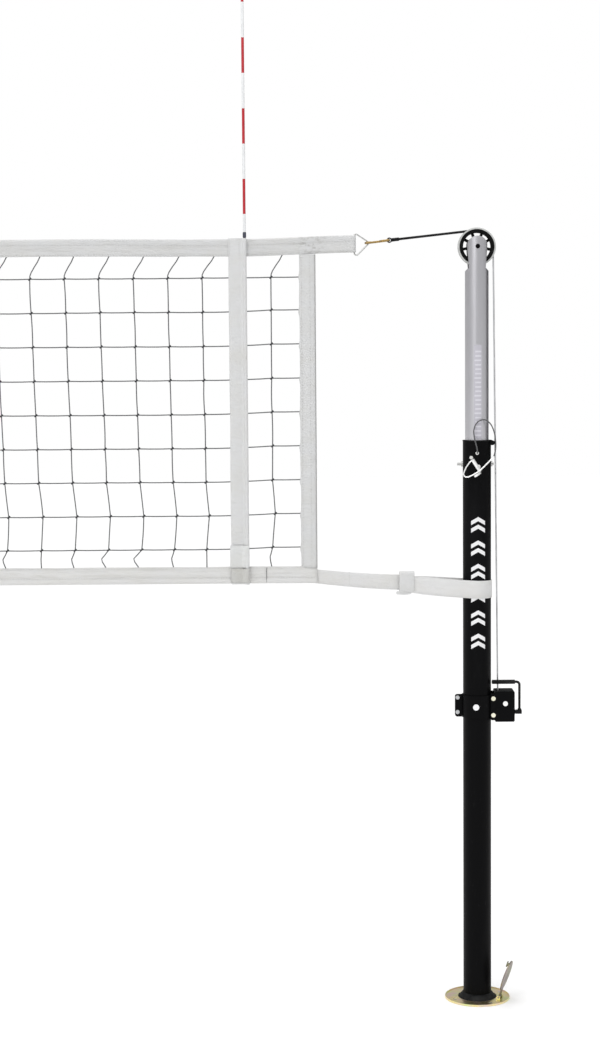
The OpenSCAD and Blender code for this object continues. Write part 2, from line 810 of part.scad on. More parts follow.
module drum_axle() {
    color("silver") at_post(1) {
        y_pin(drum_x, drum_z, axle_r, -box_y - 1, box_y + 6);
        y_pin(drum_x, drum_z, 7.2, -box_y - 4, -box_y);
        difference() {
            translate([drum_x, box_y, drum_z]) rotate([-90, 0, 0])
                cylinder(r = 10, h = 5, $fn = 6);
            y_pin(drum_x, drum_z, axle_r, 0, 60);
        }
    }
}

module winch_drum() {
    color("gray") at_post(1) difference() {
        union() {
            y_pin(drum_x, drum_z, drum_core_r, -4, 24);
            y_pin(drum_x, drum_z, flange_r, 24, 27);
            y_pin(drum_x, drum_z, flange_r, -6, -3);
            y_pin(drum_x, drum_z, 11, worm_y + 3, -5);
        }
        y_pin(drum_x, drum_z, axle_r + running, -60, 60);
    }
}

// One straight tooth of the gear, pointing along -Y in its own plane.
module gear_tooth() {
    slope = tan(20);
    polygon([
        [-tooth_half - 2.6 * slope, -gear_r + 2.8], [-tooth_half + 1.6 * slope, -gear_r - 1.6],
        [tooth_half - 1.6 * slope, -gear_r - 1.6], [tooth_half + 2.6 * slope, -gear_r + 2.8]
    ]);
}

module worm_gear() {
    color("goldenrod") at_post(1) translate([drum_x, worm_y + 3, drum_z]) rotate([90, 0, 0])
        difference() {
            linear_extrude(height = 6) union() {
                circle(r = gear_r - 2.6);
                for (k = [0 : gear_teeth - 1]) rotate(k * 360 / gear_teeth) gear_tooth();
            }
            translate([0, 0, -1]) cylinder(r = axle_r + running, h = 20);
        }
}

// Worm thread: a radius that depends on the place along the helix, u in turns.
function thread_radius(u) = let (
    off_crest = abs(u - floor(u) - 0.5) * worm_lead,
    rise = (tooth_half + 2.1 * tan(20) - off_crest) / tan(20)
) worm_r - 2.1 + min(3.8, max(0, rise));
module winch_worm() {
    sides = 24;
    steps = 60;
    points = [
        for (i = [0 : steps]) for (k = [0 : sides - 1]) let (
            x = worm_len * i / steps,
            a = 360 * k / sides,
            ends = i == 0 || i == steps,
            r = ends ? worm_r - 2.1 : thread_radius((x - worm_len / 2) / worm_lead - k / sides)
        ) [x, -r * sin(a), r * cos(a)]
    ];
    walls = [
        for (i = [0 : steps - 1]) for (k = [0 : sides - 1]) [
            i * sides + k, (i + 1) * sides + k,
            (i + 1) * sides + (k + 1) % sides, i * sides + (k + 1) % sides
        ]
    ];
    first = [for (k = [0 : sides - 1]) k];
    final = [for (k = [sides - 1 : -1 : 0]) steps * sides + k];
    color("silver") at_post(1) {
        translate([drum_x - worm_len / 2, worm_y, worm_z])
            polyhedron(points, concat([first], walls, [final]), convexity = 10);
        x_pin(worm_y, worm_z, 5, 56.5, drum_x - worm_len / 2 + 0.5);
        x_pin(worm_y, worm_z, 4, drum_x + worm_len / 2 - 1, 99);
        x_pin(worm_y, worm_z, 5, 98, hub_x0 + 1);
        difference() {
            x_pin(worm_y, worm_z, hub_r, hub_x0, hub_x1);
            translate([arm_x, worm_y, worm_z - 4]) cylinder(r = rod_r + running, h = 20);
        }
    }
}

// The arm stands in the worm shaft's hub and swivels there, so the grip can point either way.
module crank_rod() {
    color([0.06, 0.06, 0.06]) at_post(1) translate([0, worm_y, worm_z]) {
        bend = 9;
        bar([arm_x, 0, -3.8], [arm_x, 0, crank_arm - bend], rod_r);
        bar([arm_x, 0, hub_r + running], [arm_x, 0, hub_r + 3], rod_r + 1.6);
        translate([arm_x - bend, 0, crank_arm - bend]) rotate([90, 0, 0])
            rotate_extrude(angle = 90) translate([bend, 0]) circle(r = rod_r, $fn = 24);
        x_pin(0, crank_arm, rod_r, grip_x0 - 1, arm_x - bend);
    }
}

module crank_grip() {
    color([0.1, 0.1, 0.1]) at_post(1) translate([0, worm_y, worm_z + crank_arm]) difference() {
        x_pin(0, 0, grip_r, grip_x0, grip_x1);
        x_pin(0, 0, rod_r + running, 0, 200);
    }
}

ground_sleeves();
sleeve_liners();
floor_plates();
plate_screws();
cover_hinge_pins();
cover_lid(1);  // right_cover_lid
cover_lid(-1);  // left_cover_lid
lower_post(1);  // right_lower_post
lower_post(-1);  // left_lower_post
post_feet();
top_collars();
guide_bushings();
side_bolts();
lanyard_rivets();
lanyard(1);  // right_lanyard
lanyard(-1);  // left_lanyard
lock_pin(1);  // right_lock_pin
lock_pin(-1);  // left_lock_pin
pin_bail(1);  // right_pin_bail
pin_bail(-1);  // left_pin_bail
upright(1);  // right_upright
upright(-1);  // left_upright
upright_bushing(1);  // right_upright_bushing
upright_bushing(-1);  // left_upright_bushing
pulley_axle(1);  // right_pulley_axle
pulley_axle(-1);  // left_pulley_axle
pulley_spacers(1);  // right_pulley_spacers
pulley_spacers(-1);  // left_pulley_spacers
pulley_wheel(1);  // right_pulley_wheel
pulley_wheel(-1);  // left_pulley_wheel
top_cables();
right_cable_run();
left_cable_run();
left_cable_anchor();
net_mesh();
top_band();
bottom_band();
headline_cable();
bottom_cord();
side_tapes();
side_dowels();
marker_tapes();
antennas();
delta_rings();
snap_hooks();
snap_gate(1);  // right_snap_gate
snap_gate(-1);  // left_snap_gate
bottom_straps();
strap_keepers();
winch_saddle_front();
winch_saddle_back();
winch_bolts();
winch_housing();
winch_cover();
drum_axle();
winch_drum();
worm_gear();
winch_worm();
crank_rod();
crank_grip();
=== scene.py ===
"""Volleyball net on telescoping posts: the looks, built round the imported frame."""
import math

import bpy
import numpy as np
from mathutils import Matrix, Vector, noise


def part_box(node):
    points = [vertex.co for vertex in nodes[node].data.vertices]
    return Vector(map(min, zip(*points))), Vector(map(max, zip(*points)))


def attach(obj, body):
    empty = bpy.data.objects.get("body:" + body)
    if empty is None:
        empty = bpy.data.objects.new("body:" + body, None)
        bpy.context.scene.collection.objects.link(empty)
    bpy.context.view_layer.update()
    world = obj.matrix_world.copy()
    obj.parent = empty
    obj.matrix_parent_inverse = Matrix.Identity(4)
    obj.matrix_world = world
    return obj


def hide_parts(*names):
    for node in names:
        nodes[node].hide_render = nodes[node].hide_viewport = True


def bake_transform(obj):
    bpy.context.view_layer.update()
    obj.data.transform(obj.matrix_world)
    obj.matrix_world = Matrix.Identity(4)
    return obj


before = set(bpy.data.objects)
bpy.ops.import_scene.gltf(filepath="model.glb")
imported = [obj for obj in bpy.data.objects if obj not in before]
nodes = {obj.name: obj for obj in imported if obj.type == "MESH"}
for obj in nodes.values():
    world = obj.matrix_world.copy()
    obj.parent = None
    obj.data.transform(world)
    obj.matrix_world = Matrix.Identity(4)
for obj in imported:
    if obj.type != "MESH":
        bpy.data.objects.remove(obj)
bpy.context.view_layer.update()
SIDES = (("right", 1), ("left", -1))

# ---- sizes read from the frame ----
POST_X = sum(v.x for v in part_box("right_lower_post")) / 2
POST_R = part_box("right_lower_post")[1].y
UPRIGHT_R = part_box("right_upright")[1].y
PULLEY_Z = sum(v.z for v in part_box("right_pulley_wheel")) / 2
NET_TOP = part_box("top_band")[1].z
MESH_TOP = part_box("top_band")[0].z
MESH_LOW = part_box("bottom_band")[1].z
NET_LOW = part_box("bottom_band")[0].z
NET_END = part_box("bottom_band")[1].x
BAND_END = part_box("top_band")[1].x
ANTENNA_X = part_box("antennas")[1].x - 0.005
KEEPER_X = sum(abs(v.x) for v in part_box("strap_keepers")) / 2 - 0.0225
DRUM = [sum(v[k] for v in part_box("winch_drum")) / 2 for k in range(3)]

# ---- camera ----
camera_data = bpy.data.cameras.new("camera")
camera_data.lens = 67.22
camera_data.sensor_width = 36
camera_data.clip_end = 200
camera = bpy.data.objects.new("camera", camera_data)
camera.matrix_world = (
    Matrix.Translation((4.6585, -5.7767, 1.8423))
    @ Matrix.Rotation(math.radians(85.54), 4, "X")
    @ Matrix.Rotation(math.radians(-0.444), 4, "Z")
)
bpy.context.scene.collection.objects.link(camera)
bpy.context.scene.camera = camera


# ---- mesh building ----
class Shape:
    """Collects points and faces, each face with a material number, for one mesh."""

    def __init__(self):
        self.points, self.faces, self.slots = [], [], []

    def add(self, points, faces, slot=0):
        start = len(self.points)
        self.points += [tuple(map(float, p)) for p in points]
        self.faces += [tuple(start + i for i in f) for f in faces]
        self.slots += [slot] * len(faces)

    def grid(self, rows, slot=0, around=False, along=False):
        """A surface through rows of points. around joins each row's ends, along the end rows."""
        n, m = len(rows), len(rows[0])
        faces = []
        for i in range(n if along else n - 1):
            for j in range(m if around else m - 1):
                a, b = i * m, (i + 1) % n * m
                k = (j + 1) % m
                faces.append((a + j, a + k, b + k, b + j))
        self.add([p for row in rows for p in row], faces, slot)

    def tube(self, path, radius, sides=6, slot=0):
        """A round tube along a path, closed at both ends."""
        p = np.array(path, float)
        t = np.gradient(p, axis=0)
        t /= np.linalg.norm(t, axis=1)[:, None]
        first = np.cross(t[0], (0, 0, 1) if abs(t[0][2]) < 0.9 else (1, 0, 0))
        side = first / np.linalg.norm(first)
        rings = []
        for q, d in zip(p, t):
            side = side - side.dot(d) * d
            side /= np.linalg.norm(side)
            up = np.cross(d, side)
            rings.append([
                q + radius * (math.cos(a) * side + math.sin(a) * up)
                for a in np.arange(sides) * 2 * math.pi / sides
            ])
        start = len(self.points)
        self.grid(rings, slot, around=True)
        last = start + (len(p) - 1) * sides
        self.faces += [
            tuple(start + k for k in range(sides))[::-1],
            tuple(last + k for k in range(sides)),
        ]
        self.slots += [slot] * 2

    def ribbon(self, path, across, width, thick, loop=False):
        """A flat strap along a path, with rounded edges. across is its width's direction."""
        p = np.array(path, float)
        if loop:
            t = np.roll(p, -1, 0) - np.roll(p, 1, 0)
        else:
            t = np.gradient(p, axis=0)
        t /= np.linalg.norm(t, axis=1)[:, None]
        w = np.array(across, float)
        widths = np.broadcast_to(width, len(p))
        rings = []
        for q, d, b in zip(p, t, widths):
            u = w - w.dot(d) * d
            u /= np.linalg.norm(u)
            n = np.cross(d, u)
            h, e = b / 2, thick / 2
            outline = [
                (-h, 0), (-h + e * 0.6, -e * 0.85), (-h * 0.5, -e), (0, -e), (h * 0.5, -e),
                (h - e * 0.6, -e * 0.85), (h, 0), (h - e * 0.6, e * 0.85), (h * 0.5, e),
                (0, e), (-h * 0.5, e), (-h + e * 0.6, e * 0.85),
            ]
            rings.append([q + a * u + c * n for a, c in outline])
        start, m = len(self.points), 12
        self.grid(rings, around=True, along=loop)
        if not loop:
            last = start + (len(p) - 1) * m
            self.faces += [
                tuple(start + k for k in range(m))[::-1], tuple(last + k for k in range(m))
            ]
            self.slots += [0] * 2

    def stitches(self, path, out, pitch=0.006):
        """A row of short raised threads along a path, lying on the cloth whose outside is out."""
        size = 0.0007
        p = np.array(path, float)
        steps = np.linalg.norm(np.diff(p, axis=0), axis=1)
        at = np.concatenate([[0], np.cumsum(steps)])
        o = np.array(out, float)
        for s in np.arange(pitch / 2, at[-1], pitch):
            a, b = (
                np.array([np.interp(s + k * pitch * 0.31, at, p[:, c]) for c in range(3)])
                for k in (-1, 1)
            )
            d = (b - a) / np.linalg.norm(b - a)
            side = np.cross(d, o) * size
            top = o * size * 0.9
            m = (a + b) / 2
            self.add(
                [a, m - side, b, m + side, m + top * 1.6 - (b - a) * 0.22,
                 m + top * 1.6 + (b - a) * 0.22],
                [(0, 1, 4), (1, 5, 4), (1, 2, 5), (2, 3, 5), (3, 4, 5), (3, 0, 4)],
            )

    def build(self, name, materials, smooth=True):
        mesh = bpy.data.meshes.new(name)
        mesh.from_pydata(self.points, [], self.faces)
        mesh.polygons.foreach_set("material_index", self.slots)
        mesh.polygons.foreach_set("use_smooth", [smooth] * len(self.faces))
        for m in materials:
            mesh.materials.append(m)
        mesh.update()
        made = bpy.data.objects.new(name, mesh)
        bpy.context.scene.collection.objects.link(made)
        return made


def wobble(x, y, z, scale, seed=0.0):
    """Smooth noise between about -1 and 1."""
    return noise.noise(Vector((x * scale + seed, y * scale - seed, z * scale + 2 * seed)))


def thicken(made, thickness):
    skin = made.modifiers.new("skin", "SOLIDIFY")
    skin.thickness = thickness
    skin.offset = 0
    return made


def smoothstep(a, b, x):
    t = min(1, max(0, (x - a) / (b - a)))
    return t * t * (3 - 2 * t)


# ---- materials ----
class Paint:
    """A Principled material with small helpers for its procedural nodes."""

    def __init__(self, name, color, roughness, metallic=0.0, **plain):
        self.material = bpy.data.materials.new(name)
        self.material.use_nodes = True
        self.tree = self.material.node_tree
        self.shader = self.tree.nodes["Principled BSDF"]
        self.set("Base Color", color)
        self.set("Roughness", roughness)
        self.set("Metallic", metallic)
        for key, value in plain.items():
            self.set(key.replace("_", " "), value)
        self.place = self.node("ShaderNodeTexCoord").outputs["Object"]

    def node(self, kind, **settings):
        made = self.tree.nodes.new(kind)
        for key, value in settings.items():
            setattr(made, key, value)
        return made

    def feed(self, socket, value):
        if isinstance(value, bpy.types.NodeSocket):
            self.tree.links.new(value, socket)
        elif isinstance(value, (tuple, list)) and len(socket.default_value) == 4:
            socket.default_value = (*value, 1)[:4]
        else:
            socket.default_value = value

    def set(self, name, value):
        self.feed(self.shader.inputs[name], value)
        return self

    def stretched(self, scale):
        mapping = self.node("ShaderNodeMapping")
        self.feed(mapping.inputs["Vector"], self.place)
        mapping.inputs["Scale"].default_value = scale
        return mapping.outputs["Vector"]

    def noise(self, scale, detail=4, rough=0.55, stretch=(1, 1, 1)):
        made = self.node("ShaderNodeTexNoise")
        self.feed(made.inputs["Vector"], self.stretched(stretch))
        made.inputs["Scale"].default_value = scale
        made.inputs["Detail"].default_value = detail
        made.inputs["Roughness"].default_value = rough
        return made.outputs["Fac"]

    def axes(self):
        made = self.node("ShaderNodeSeparateXYZ")
        self.feed(made.inputs[0], self.place)
        return made.outputs

    def sum(self, kind, a, b=0.0, c=None):
        made = self.node("ShaderNodeMath", operation=kind)
        self.feed(made.inputs[0], a)
        self.feed(made.inputs[1], b)
        if c is not None:
            self.feed(made.inputs[2], c)
        return made.outputs[0]

    def span(self, value, low, high, to_low=0.0, to_high=1.0):
        """Maps low..high to to_low..to_high, clamped."""
        made = self.node("ShaderNodeMapRange")
        for k, v in enumerate((value, low, high, to_low, to_high)):
            self.feed(made.inputs[k], v)
        return made.outputs[0]

    def blend(self, factor, a, b):
        made = self.node("ShaderNodeMix", data_type="RGBA")
        self.feed(made.inputs["Factor"], factor)
        self.feed(made.inputs[6], a)
        self.feed(made.inputs[7], b)
        return made.outputs[2]

    def bump(self, *layers):
        """Layers of (height, distance in metres), one on the other."""
        normal = None
        for height, distance in layers:
            made = self.node("ShaderNodeBump")
            made.inputs["Distance"].default_value = distance
            self.feed(made.inputs["Height"], height)
            if normal:
                self.feed(made.inputs["Normal"], normal)
            normal = made.outputs[0]
        return self.set("Normal", normal)


def shade(color, factor):
    return tuple(min(1, c * factor) for c in color)


def metal(name, color, roughness, grain=(1, 1, 1), dull=0.72, scale=260, metallic=1.0):
    """Steel, brass or aluminium with drawn or cast grain, dull patches and fine scratches."""
    p = Paint(name, color, roughness, metallic)
    patches = p.noise(22, 5, 0.6)
    lines = p.noise(scale, 3, 0.6, grain)
    p.set("Base Color", p.blend(p.span(patches, 0.35, 0.7), shade(color, dull), color))
    uneven = p.sum("ADD", patches, lines)
    p.set("Roughness", p.span(uneven, 0.7, 1.3, roughness * 0.8, roughness * 1.25))
    p.bump((lines, 0.0002), (p.noise(900, 2), 0.00008))
    return p.material


def plastic(name, color, roughness, grain=0.00012, **plain):
    """Moulded or turned plastic, or paint: fine texture, rubbed patches and dust."""
    p = Paint(name, color, roughness, 0.0, **plain)
    patches = p.noise(17, 6, 0.62)
    specks = p.noise(620, 2)
    lighter = tuple(c + (0.16 - c) * 0.16 if c < 0.16 else c * 0.93 for c in color)
    p.set("Base Color", p.blend(p.span(patches, 0.45, 0.75), color, lighter))
    p.set("Roughness", p.span(patches, 0.3, 0.75, roughness * 0.86, roughness * 1.2))
    p.bump((patches, 0.0004), (specks, grain))
    return p.material


def cloth(name, color, pitch, stain=(0.96, 0.95, 0.92), depth=0.00025, rough=0.75, sheen=0.25,
          streaks=0.0, hem_shadow_x=0.0, crumple_shade_x=0.0):
    """Woven or coated fabric: threads both ways, soft creases and slight staining; optionally
    painted shade round a crumple and a painted shadow along the hem.
    """
    p = Paint(name, color, rough)
    p.set("Sheen Weight", sheen)
    p.set("Sheen Roughness", 0.5)
    p.set("Specular IOR Level", 0.35)
    x, y, z = p.axes()
    across = p.sum("ADD", x, y)
    turns = 2 * math.pi / pitch
    warp = p.sum("SINE", p.sum("MULTIPLY", across, turns))
    weft = p.sum("SINE", p.sum("MULTIPLY", z, turns))
    weave = p.span(p.sum("MULTIPLY", warp, weft), -1, 1)
    soft = p.noise(9, 6, 0.6, (1, 1, 2.2))
    creases = p.noise(38, 4, 0.55, (0.55, 1, 1.5))
    tint = tuple(c * s for c, s in zip(color, stain))
    mottle = p.blend(p.span(soft, 0.42, 0.72), color, tint)
    if streaks:
        long_folds = p.noise(70, 3, 0.6, (0.09, 1, 1.6))
        mottle = p.blend(p.span(long_folds, 0.5, 0.68, 0, streaks), mottle, shade(tint, 0.82))
    # painted shade: noisy dark spots within a few centimetres of the crumple stand in for the shade
    # in its creases
    if crumple_shade_x:
        from_fold = p.sum("ABSOLUTE", p.sum("SUBTRACT", p.sum("ABSOLUTE", x), crumple_shade_x))
        near = p.span(from_fold, 0.02, 0.06, 0.85, 0)
        crease_shade = p.span(p.noise(85, 5, 0.65, (0.7, 1, 1.3)), 0.50, 0.62)
        mottle = p.blend(p.sum("MULTIPLY", near, crease_shade), mottle, shade(tint, 0.70))
    # painted shadow: the last few millimetres by the outer hem turn half as dark, for the shadow
    # the dowel's hem casts
    if hem_shadow_x:
        edge = p.span(p.sum("ABSOLUTE", x), hem_shadow_x - 0.0045, hem_shadow_x - 0.0015, 0, 0.85)
        mottle = p.blend(edge, mottle, shade(tint, 0.5))
    p.set("Base Color", p.blend(p.span(weave, 0, 1, 0.1, 0), mottle, shade(tint, 0.72)))
    if streaks:
        p.bump((long_folds, 0.0025), (creases, 0.004), (weave, depth))
    else:
        p.bump((creases, 0.004), (weave, depth))
    return p.material


def chromate(name, color, roughness):
    """Yellow-passivated steel: gold with lilac and green clouds."""
    p = Paint(name, color, roughness, 1.0)
    clouds = p.noise(26, 4, 0.55)
    drift = p.noise(15, 3, 0.5)
    lilac = tuple(c * k for c, k in zip(color, (0.92, 0.82, 1.55)))
    green = tuple(c * k for c, k in zip(color, (0.82, 1.06, 0.95)))
    mixed = p.blend(p.span(clouds, 0.42, 0.62), color, lilac)
    mixed = p.blend(p.span(drift, 0.50, 0.66), mixed, green)
    grain = p.noise(420, 3)
    p.set("Base Color", p.blend(p.span(grain, 0.55, 0.75, 0, 0.5), mixed, shade(color, 0.6)))
    p.set("Roughness", p.span(clouds, 0.3, 0.7, roughness * 0.85, roughness * 1.2))
    p.bump((clouds, 0.0006), (grain, 0.0001))
    return p.material


def bolt_metal():
    """Clamp bolts: grey on the ear side, white in the middle, pale yellow on the box side."""
    p = Paint("bolt_plating", (0.7, 0.7, 0.7), 0.28, 1.0)
    x, _, _ = p.axes()
    patches = p.noise(190, 4)
    grey = p.blend(p.span(patches, 0.35, 0.65), (0.36, 0.37, 0.38), (0.56, 0.57, 0.58))
    white = p.blend(p.span(patches, 0.35, 0.65), (0.84, 0.84, 0.86), (0.95, 0.95, 0.96))
    yellow = p.blend(p.span(patches, 0.35, 0.65), (0.80, 0.77, 0.60), (0.93, 0.91, 0.76))
    inner = p.blend(p.sum("GREATER_THAN", x, POST_X - 0.03), grey, white)
    p.set("Base Color", p.blend(p.sum("GREATER_THAN", x, POST_X + 0.03), inner, yellow))
    p.bump((patches, 0.0002), (p.noise(900, 2), 0.0001))
    return p.material


def black_paint():
    p = Paint("powder_coat_black", (0.0022, 0.0022, 0.0026), 0.5)
    p.set("Specular IOR Level", 0.06)
    _, _, z = p.axes()
    patches = p.noise(14, 6, 0.65, (1, 1, 0.35))
    peel = p.noise(420, 2)
    scuffs = p.noise(95, 6, 0.75, (1, 1, 0.5))
    low = p.span(z, 0.0, 0.5, 0.6, 0.3)
    wear = p.sum("MULTIPLY", p.span(scuffs, 0.62, 0.72), low)
    dusty = p.blend(p.span(patches, 0.5, 0.8), (0.0022, 0.0022, 0.0026), (0.006, 0.006, 0.0066))
    p.set("Base Color", p.blend(p.sum("MULTIPLY", wear, 0.5), dusty, (0.05, 0.05, 0.05)))
    p.set("Roughness", p.span(patches, 0.35, 0.75, 0.40, 0.55))
    p.bump((peel, 0.00012), (scuffs, 0.00015))
    return p.material


def upright_metal():
    p = Paint("anodised_tube", (0.62, 0.615, 0.64), 0.36, 1.0)
    patches = p.noise(6, 5, 0.6, (1, 1, 0.25))
    drawn = p.noise(340, 4, 0.6, (1, 1, 0.02))
    specks = p.noise(160, 3)
    tone = p.blend(p.span(patches, 0.35, 0.7), (0.57, 0.565, 0.595), (0.66, 0.655, 0.675))
    p.set("Base Color", tone)
    p.set("Roughness", p.span(p.sum("ADD", patches, drawn), 0.7, 1.3, 0.28, 0.42))
    p.bump((drawn, 0.00012), (specks, 0.0001))
    return p.material


def pulley_plastic():
    p = Paint("pulley_plastic", (0.008, 0.008, 0.008), 0.4)
    p.set("Specular IOR Level", 0.08)
    x, _, z = p.axes()
    from_axle = p.sum("SQRT", p.sum("ADD",
        p.sum("POWER", p.sum("SUBTRACT", p.sum("ABSOLUTE", x), POST_X), 2),
        p.sum("POWER", p.sum("SUBTRACT", z, PULLEY_Z), 2)))
    # painted highlight: the black wheel's outer rim is painted light grey, for the light its
    # flange's chamfer catches
    highlight_ring = p.span(from_axle, 0.0503, 0.0508)
    turned = p.sum("SINE", p.sum("MULTIPLY", from_axle, 2 * math.pi / 0.0007))
    patches = p.noise(60, 4)
    dark = p.blend(p.span(patches, 0.4, 0.7), (0.003, 0.003, 0.0033), (0.007, 0.007, 0.0073))
    lip_highlight = p.blend(p.span(patches, 0.4, 0.7), (0.47, 0.475, 0.465), (0.56, 0.565, 0.555))
    p.set("Base Color", p.blend(highlight_ring, dark, lip_highlight))
    p.bump((turned, 0.00006), (p.noise(500, 2), 0.0001))
    return p.material


def antenna_paint():
    p = Paint("antenna_stripes", (0.8, 0.8, 0.8), 0.36)
    p.set("Coat Weight", 0.12)
    p.set("Coat Roughness", 0.15)
    _, _, z = p.axes()
    turn = p.sum("MODULO", p.sum("SUBTRACT", z, 0.31), 0.2)
    red = p.sum("LESS_THAN", turn, 0.1)
    mottle = p.noise(120, 4, 0.6, (1, 1, 0.3))
    reds = p.blend(p.span(mottle, 0.35, 0.7), (0.42, 0.008, 0.018), (0.52, 0.016, 0.026))
    whites = p.blend(p.span(mottle, 0.35, 0.7), (0.74, 0.75, 0.76), (0.83, 0.84, 0.85))
    collar = p.sum("COMPARE", z, NET_TOP + 0.010, 0.0085)
    p.set("Base Color", p.blend(collar, p.blend(red, whites, reds), (0.05, 0.055, 0.08)))
    p.bump((mottle, 0.00015), (p.noise(700, 2), 0.00006))
    return p.material


CRUMPLE_X = 4.69

BLACK = black_paint()
ALUMINIUM = upright_metal()
PULLEY = pulley_plastic()
ANTENNA = antenna_paint()
ZINC = metal("zinc_steel", (0.56, 0.56, 0.55), 0.38)
BRIGHT_ZINC = metal("bright_zinc", (0.95, 0.95, 0.94), 0.30, dull=0.90, metallic=0.5)
WIRE = metal("galvanised_wire", (0.74, 0.75, 0.76), 0.40, dull=0.82)
DULL_STEEL = metal("galvanised_sleeve", (0.34, 0.34, 0.35), 0.55, scale=120)
PLATE = chromate("plate_chromate", (0.92, 0.78, 0.38), 0.30)
LID = chromate("lid_chromate", (0.25, 0.215, 0.135), 0.42)
HOOK_BRASS = metal("hook_brass", (0.50, 0.34, 0.13), 0.40, dull=0.45, scale=420)
BOLTS = bolt_metal()
BLACK_PLASTIC = plastic("black_plastic", (0.0035, 0.0035, 0.004), 0.5, Specular_IOR_Level=0.08)
RUBBER = plastic("rubber", (0.022, 0.022, 0.022), 0.7)
NYLON = plastic("white_nylon", (0.72, 0.72, 0.70), 0.42)
CABLE_COAT = plastic("cable_coat", (0.004, 0.004, 0.0045), 0.38, Specular_IOR_Level=0.12)
# the top band's vinyl carries painted crease shade round the crumple at CRUMPLE_X
VINYL = cloth("band_vinyl", (0.665, 0.67, 0.675), 0.0011, rough=0.55, sheen=0.1, streaks=0.5,
              crumple_shade_x=CRUMPLE_X)
# the side tapes' vinyl carries a painted shadow along its outer hem
VINYL_SIDE = cloth("side_vinyl", (0.665, 0.67, 0.675), 0.0011, rough=0.55, sheen=0.1, hem_shadow_x=NET_END)
VINYL_LOW = cloth("band_vinyl_low", (0.71, 0.71, 0.705), 0.0011, rough=0.58, sheen=0.1, streaks=0.5)
TAPE = cloth("woven_tape", (0.71, 0.715, 0.72), 0.0016, depth=0.0004)
WEBBING = cloth("strap_webbing", (0.76, 0.76, 0.76), 0.0022, depth=0.0006)
LOOPS = cloth("hook_and_loop", (0.745, 0.755, 0.755), 0.0012, depth=0.0004, sheen=0.5)
HOOKS = cloth("hook_side", (0.60, 0.60, 0.585), 0.0012, depth=0.0004)
THREAD = cloth("stitch_thread", (0.60, 0.60, 0.59), 0.0006)
TWINE = cloth("net_twine", (0.150, 0.153, 0.160), 0.0014, depth=0.0005, rough=0.85)
# painted shade: the knots are the same twine painted about five times darker, for the shade where
# it wraps and crosses itself
SHADED_KNOTS = cloth("net_knots_shaded", (0.030, 0.032, 0.038), 0.0014, depth=0.0005, rough=0.85)
GREY_BRAID = cloth("lanyard_braid", (0.10, 0.10, 0.105), 0.0012, depth=0.0004)
GLASS_FIBRE = plastic("glass_fibre", (0.45, 0.48, 0.38), 0.3)
SCALE_BASE = plastic("scale_strip", (0.50, 0.49, 0.54), 0.4)
SCALE_MARK = plastic("scale_marks", (0.64, 0.63, 0.68), 0.45)
GRAPHIC = plastic("white_print", (0.82, 0.82, 0.83), 0.5)

CAD_PAINT = {
    BLACK: ["right_lower_post", "left_lower_post", "winch_saddle_front", "winch_saddle_back",
            "winch_housing", "winch_cover", "left_cable_anchor", "right_pulley_axle",
            "left_pulley_axle"],
    ALUMINIUM: ["right_upright", "left_upright"],
    PULLEY: ["right_pulley_wheel", "left_pulley_wheel"],
    ANTENNA: ["antennas"],
    ZINC: ["plate_screws", "cover_hinge_pins", "side_bolts", "delta_rings", "winch_drum",
           "worm_gear"],
    BRIGHT_ZINC: ["right_lock_pin", "left_lock_pin", "right_pin_bail", "left_pin_bail",
                  "drum_axle"],
    WIRE: ["headline_cable"],
    DULL_STEEL: ["ground_sleeves"],
    PLATE: ["floor_plates"],
    LID: ["right_cover_lid", "left_cover_lid"],
    HOOK_BRASS: ["snap_hooks", "right_snap_gate", "left_snap_gate"],
    BOLTS: ["winch_bolts"],
    # the sleeve liners' black is partly painted shade: it also stands for the shadow down in the
    # recess round each post
    BLACK_PLASTIC: ["sleeve_liners", "top_collars", "crank_grip", "crank_rod", "winch_worm"],
    RUBBER: ["post_feet"],
    NYLON: ["guide_bushings", "right_upright_bushing", "left_upright_bushing",
            "right_pulley_spacers", "left_pulley_spacers", "lanyard_rivets"],
    CABLE_COAT: ["top_cables"],
    GLASS_FIBRE: ["side_dowels"],
    THREAD: ["bottom_cord"],
}
for paint, names in CAD_PAINT.items():
    for name in names:
        for held in nodes[name].material_slots:
            held.material = paint

# ---- lanyards: free cords from the rivet over the post's top to the bail ----
LANYARD_R = 0.0018
# the right one's route, in millimetres from its post's axis and the floor
LANYARD = [
    (-3, -45.2, 1618), (-3, -50, 1618), (-3.5, -54.5, 1624), (-4.5, -56, 1632), (-7, -55, 1643),
    (-10, -53, 1655), (-12, -49, 1667), (-13, -45, 1679), (-11, -42, 1691), (-6, -40, 1702),
    (2, -39, 1710), (13, -38, 1714), (23, -36, 1713), (32, -33, 1707), (40, -29, 1697),
    (46, -25, 1684), (50, -23, 1670), (52, -22, 1656), (53, -23, 1642), (52, -26, 1628),
    (49, -31, 1617), (46, -36, 1609),
]


def rounded(path, steps=4):
    """Points on a smooth curve through a path."""
    p = np.array(path, float)
    p = np.vstack([2 * p[0] - p[1], p, 2 * p[-1] - p[-2]])
    out = []
    for i in range(1, len(p) - 2):
        for t in np.arange(steps) / steps:
            out.append(0.5 * (
                2 * p[i] + (p[i + 1] - p[i - 1]) * t
                + (2 * p[i - 1] - 5 * p[i] + 4 * p[i + 1] - p[i + 2]) * t ** 2
                + (3 * p[i] - p[i - 1] - 3 * p[i + 1] + p[i + 2]) * t ** 3
            ))
    return out + [p[-2]]


for side, s in SIDES:
    route = rounded([(s * (POST_X + x / 1000), y / 1000, z / 1000) for x, y, z in LANYARD])
    cord = Shape()
    cord.tube(route, LANYARD_R, 10)
    lanyard = cord.build(f"{side}_lanyard_cord", [GREY_BRAID])
    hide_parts(f"{side}_lanyard")
    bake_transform(lanyard)


